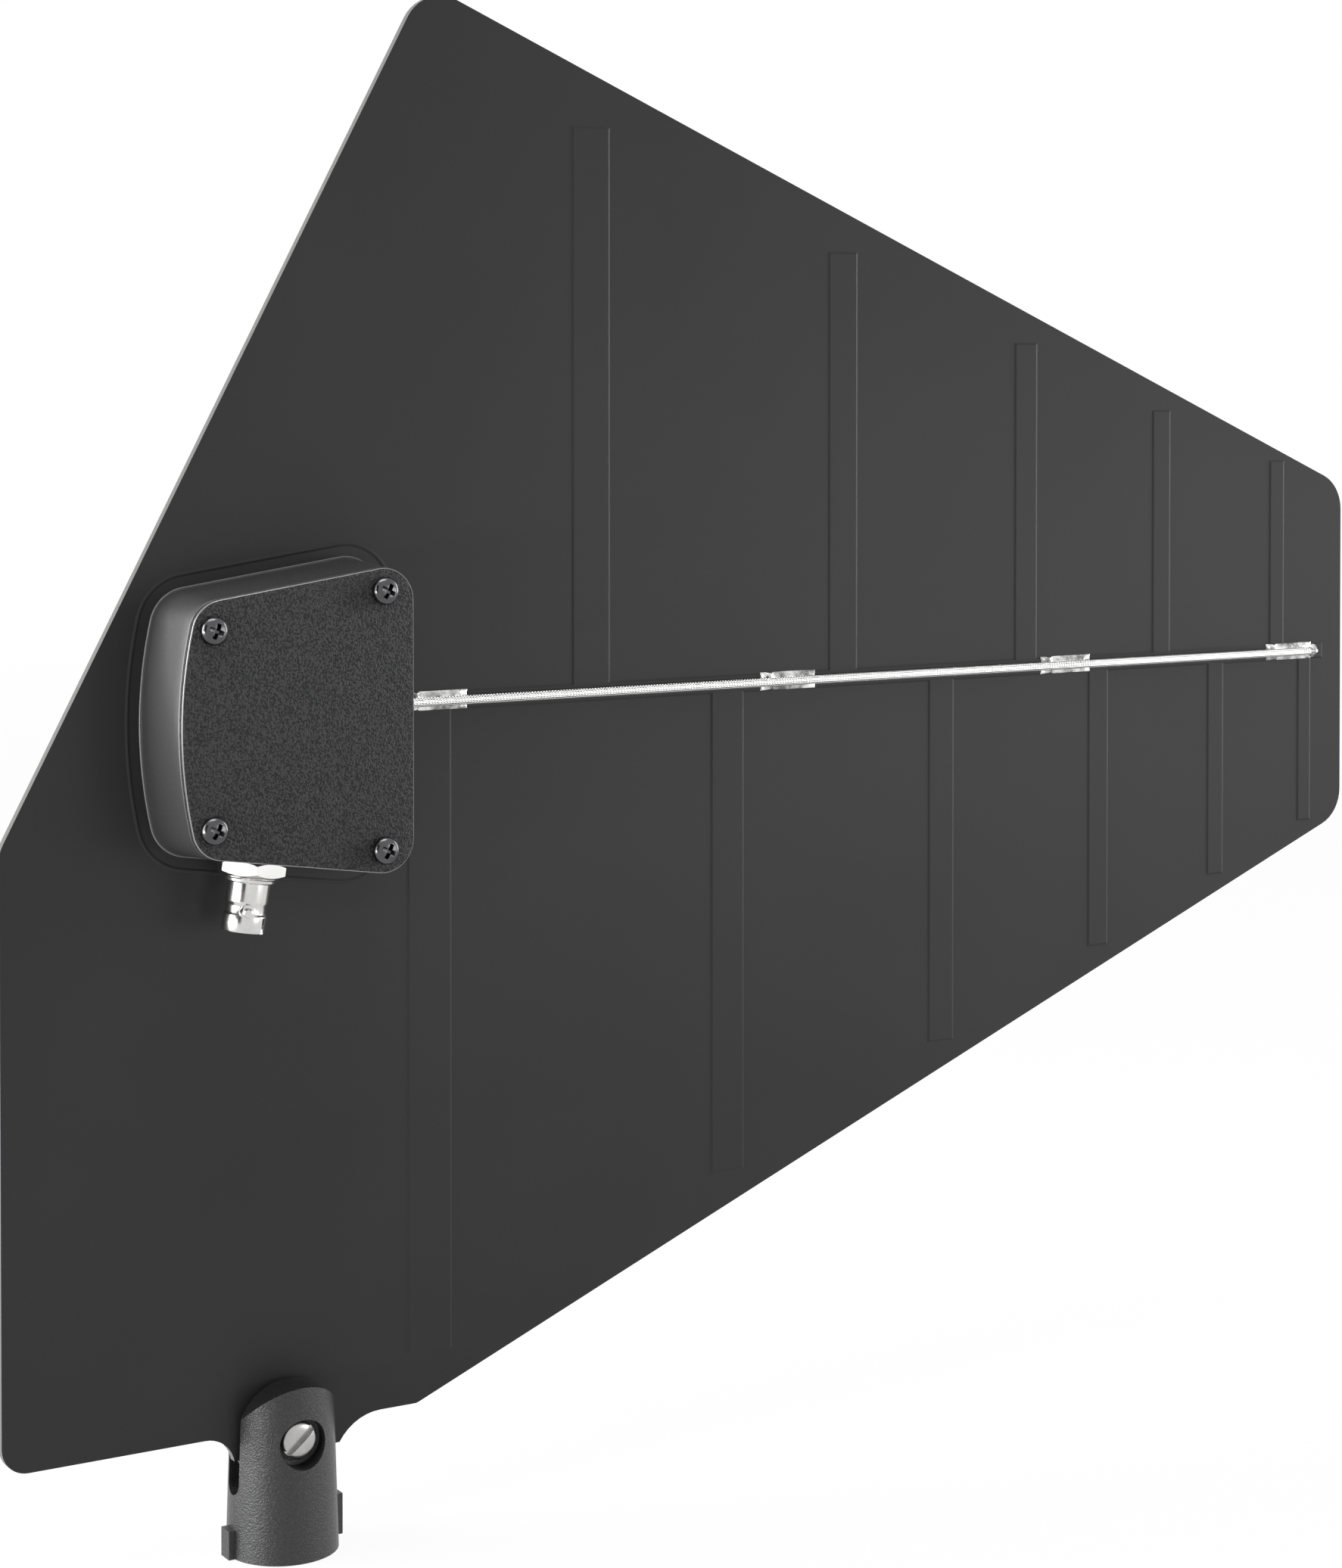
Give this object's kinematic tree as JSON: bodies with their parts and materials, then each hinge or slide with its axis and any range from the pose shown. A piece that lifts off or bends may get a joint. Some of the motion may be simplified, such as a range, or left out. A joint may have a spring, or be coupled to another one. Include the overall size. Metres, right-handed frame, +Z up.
{
  "type": "log periodic antenna",
  "caption": "Paddle shaped log periodic antenna board with boom coax, rear connector housing, bayonet jack and a tilting stand adapter.",
  "frame": {"origin": "mouth of the stand adapter's thread, on its axis", "axes": "+X along the boom towards the nose, +Z up from the stand, -Y towards the connector side"},
  "size_m": [0.3804, 0.0356, 0.3493],
  "materials": {
    "coated_board": "matte",
    "solder": "bright",
    "tinned_braid": "braided",
    "copper_wire": "drawn",
    "white_dielectric": "waxy",
    "satin_housing": "satin",
    "textured_cover": "fine textured coat",
    "black_screw": "black nickel",
    "nickel_connector": "polished nickel",
    "tinned_tag": "tinned",
    "gold_contact": "gold plated",
    "adapter_plastic": "fine grained",
    "brass_insert": "turned",
    "steel_screw": "nickel plated",
    "washer_plastic": "matte"
  },
  "bodies": {
    "adapter": {"stand_adapter": "adapter_plastic", "thread_insert": "brass_insert", "pivot_screw": "steel_screw", "pivot_nut": "steel_screw", "front_washer": "washer_plastic", "rear_washer": "washer_plastic"},
    "antenna": {"antenna_panel": "coated_board", "solder_joints": "solder", "feed_coax": "tinned_braid", "nose_link": "copper_wire", "output_wire": "copper_wire", "coax_dielectric": "white_dielectric", "housing_frame": "satin_housing", "housing_cover": "textured_cover", "cover_screws": "black_screw", "panel_screws": "black_screw", "bnc_body": "nickel_connector", "bnc_nut": "nickel_connector", "bnc_ground_tag": "tinned_tag", "bnc_insulator": "white_dielectric", "bnc_contact": "gold_contact"}
  },
  "joints": [
    {"name": "tilt", "type": "hinge", "parent": "adapter", "child": "antenna", "pos_m": [0, 0, 0.0265], "axis": [0, 1, 0], "range_deg": [-35, 35]}
  ]
}
